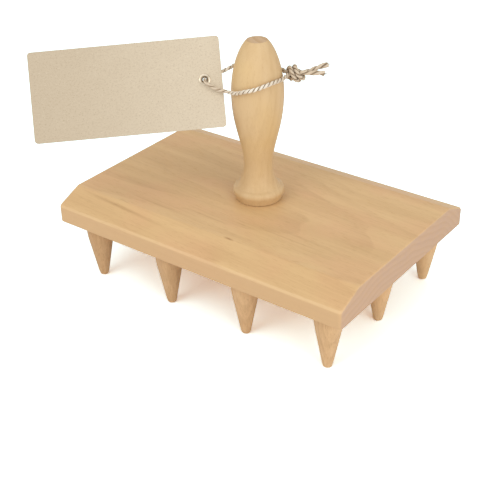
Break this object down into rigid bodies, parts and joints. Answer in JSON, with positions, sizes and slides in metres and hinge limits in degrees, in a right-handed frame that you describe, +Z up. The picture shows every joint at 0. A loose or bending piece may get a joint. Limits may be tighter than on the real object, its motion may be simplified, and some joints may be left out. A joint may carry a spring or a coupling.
{
  "type": "multi dibber board",
  "caption": "Wooden dibber board: turned handle on a bevelled board with rows of tapered pegs that press planting holes into a seed tray, with a card swing tag on twine.",
  "frame": {"origin": "middle of the board's footprint, on the level that the peg tips stand on", "axes": "+X along the board's length to the right, +Y across it to the back, +Z up along the handle"},
  "size_m": [0.2392, 0.18, 0.1756],
  "materials": {
    "board_wood": "planed pale softwood, bare and fine sanded, long grain along the board, greyer end grain",
    "handle_wood": "turned pale softwood, bare and smooth, faint growth rings running up the grip",
    "peg_wood": "turned pale softwood, bare, fine tool marks round the taper",
    "screw_steel": "plain zinc plated steel",
    "twine": "natural two-ply twine, greyish beige, slightly hairy",
    "card": "thick uncoated card with a fine woven look, matt beige",
    "eyelet_metal": "dull pale metal, crimped"
  },
  "bodies": {
    "base": {"board": "board_wood", "handle": "handle_wood", "handle_screw": "screw_steel", "peg_front_1": "peg_wood", "peg_front_2": "peg_wood", "peg_front_3": "peg_wood", "peg_front_4": "peg_wood", "peg_middle_1": "peg_wood", "peg_middle_2": "peg_wood", "peg_middle_3": "peg_wood", "peg_middle_4": "peg_wood", "peg_back_1": "peg_wood", "peg_back_2": "peg_wood", "peg_back_3": "peg_wood", "peg_back_4": "peg_wood"},
    "twine": {"twine_loop": "twine", "twine_knot": "twine", "twine_tail_upper": "twine", "twine_tail_lower": "twine"},
    "tag": {"tag_card": "card", "tag_eyelet": "eyelet_metal"}
  },
  "joints": [
    {"name": "twine_turn", "type": "hinge", "parent": "base", "child": "twine", "pos_m": [0, 0, 0.15], "axis": [0, 0, 1], "continuous": true},
    {"name": "tag_swing", "type": "hinge", "parent": "twine", "child": "tag", "pos_m": [-0.027, -0.0205, 0.1495], "axis": [0.5117, -0.6866, 0.5165], "range_deg": [-33, 16]}
  ]
}
